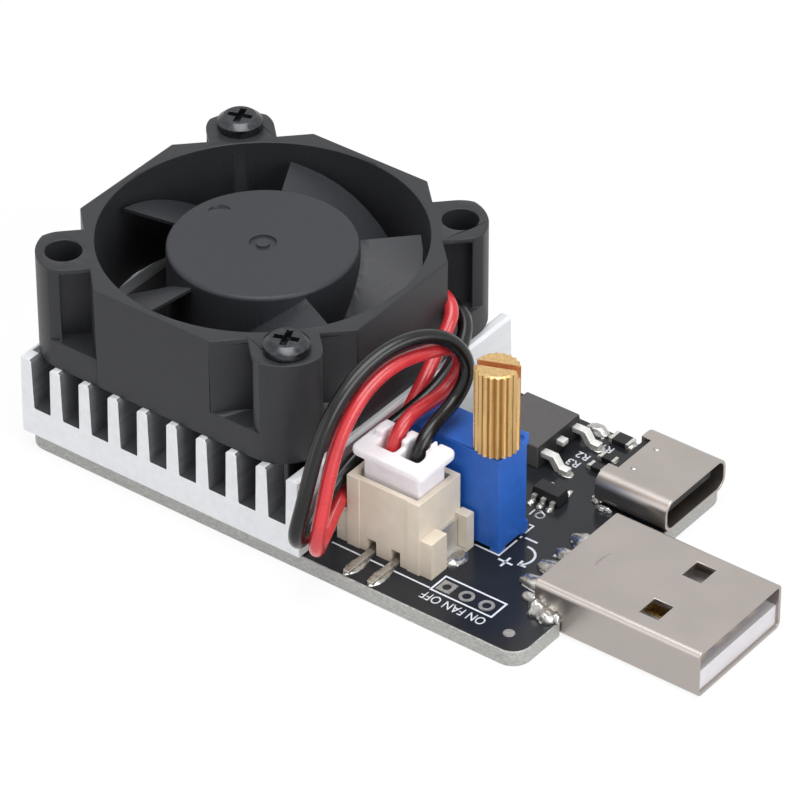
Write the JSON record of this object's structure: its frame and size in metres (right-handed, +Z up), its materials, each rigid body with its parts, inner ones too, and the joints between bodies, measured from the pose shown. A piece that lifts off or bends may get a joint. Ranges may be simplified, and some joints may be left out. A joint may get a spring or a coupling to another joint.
{
  "type": "dc electronic load",
  "caption": "Small plug-in electronic load: metal-core board with plug and socket, finned heat sink under a fan, blue trimmer with a brass knob, and a fan header with red and black leads.",
  "frame": {"origin": "centre of the board's underside", "axes": "+X towards the plug along the board, +Y across the board towards the socket, +Z up from the board"},
  "size_m": [0.0668, 0.0348, 0.021],
  "materials": {
    "board_metal": "milled bare edge",
    "board_mask": "glossy black solder mask",
    "sink_metal": "satin extruded",
    "bond": "cured thermal compound",
    "fan_plastic": "fine satin moulded",
    "blade_plastic": "satin moulded",
    "screw_steel": "black oxide",
    "steel": "bright",
    "magnet": "bonded ferrite",
    "bronze": "sintered, oiled",
    "nylon": "plain moulded",
    "copper": "enamelled winding",
    "driver_laminate": "green solder mask",
    "lead_red": "smooth vinyl",
    "lead_black": "smooth vinyl",
    "plug_white": "plain moulded nylon",
    "header_beige": "plain moulded nylon",
    "tin": "tinned",
    "trimmer_blue": "moulded",
    "ceramic": "fired, with a resistive track",
    "brass": "turned and knurled",
    "epoxy": "moulded epoxy",
    "transistor_epoxy": "moulded epoxy",
    "nickel": "nickel-plated drawn sheet",
    "gold": "gold flash",
    "insulator": "plain moulded",
    "solder": "flowed solder"
  },
  "bodies": {
    "load_board": {"board_core": "board_metal", "board_mask": "board_mask", "heat_sink": "sink_metal", "bond_layer": "bond", "fan_frame": "fan_plastic", "fan_screws": "screw_steel", "bearing_sleeve": "bronze", "thrust_washer": "nylon", "stator_core": "steel", "stator_coils": "copper", "fan_driver_board": "driver_laminate", "lead_red": "lead_red", "lead_black": "lead_black", "plug_housing": "plug_white", "plug_contacts": "tin", "header_housing": "header_beige", "header_pins": "tin", "header_tabs": "tin", "trimmer_housing": "trimmer_blue", "trimmer_element": "ceramic", "trimmer_pins": "tin", "transistor_body": "transistor_epoxy", "transistor_leads": "tin", "transistor_tab": "tin", "amplifier_body": "epoxy", "amplifier_leads": "tin", "chip_bodies": "epoxy", "chip_terminals": "tin", "shunt_body": "epoxy", "shunt_terminals": "tin", "socket_shell": "nickel", "socket_tongue": "epoxy", "socket_contacts": "gold", "usb_plug_shell": "nickel", "usb_plug_insulator": "insulator", "usb_plug_contacts": "gold", "solder_fillets": "solder", "jumper_pads": "tin"},
    "fan_rotor": {"impeller": "blade_plastic", "rotor_yoke": "steel", "ring_magnet": "magnet", "rotor_shaft": "steel"},
    "adjuster": {"adjuster_screw": "brass", "adjuster_knob": "brass"},
    "wiper": {"wiper_wheel": "nylon", "wiper_contact": "gold"}
  },
  "joints": [
    {"name": "fan_spin", "type": "hinge", "parent": "load_board", "child": "fan_rotor", "pos_m": [-0.01175, 0, 0.0146], "axis": [0, 0, 1], "continuous": true},
    {"name": "trimmer_turn", "type": "hinge", "parent": "load_board", "child": "adjuster", "pos_m": [0.01568, -0.00365, 0.007], "axis": [0, 0, 1], "range_deg": [-4500, 4500]},
    {"name": "wiper_turn", "type": "hinge", "parent": "load_board", "child": "wiper", "pos_m": [0.01183, -0.00365, 0.0066], "axis": [0, 1, 0], "range_deg": [-150, 150]}
  ],
  "couplings": [
    {"joint": "wiper_turn", "follows": "trimmer_turn", "ratio": 0.033333}
  ]
}
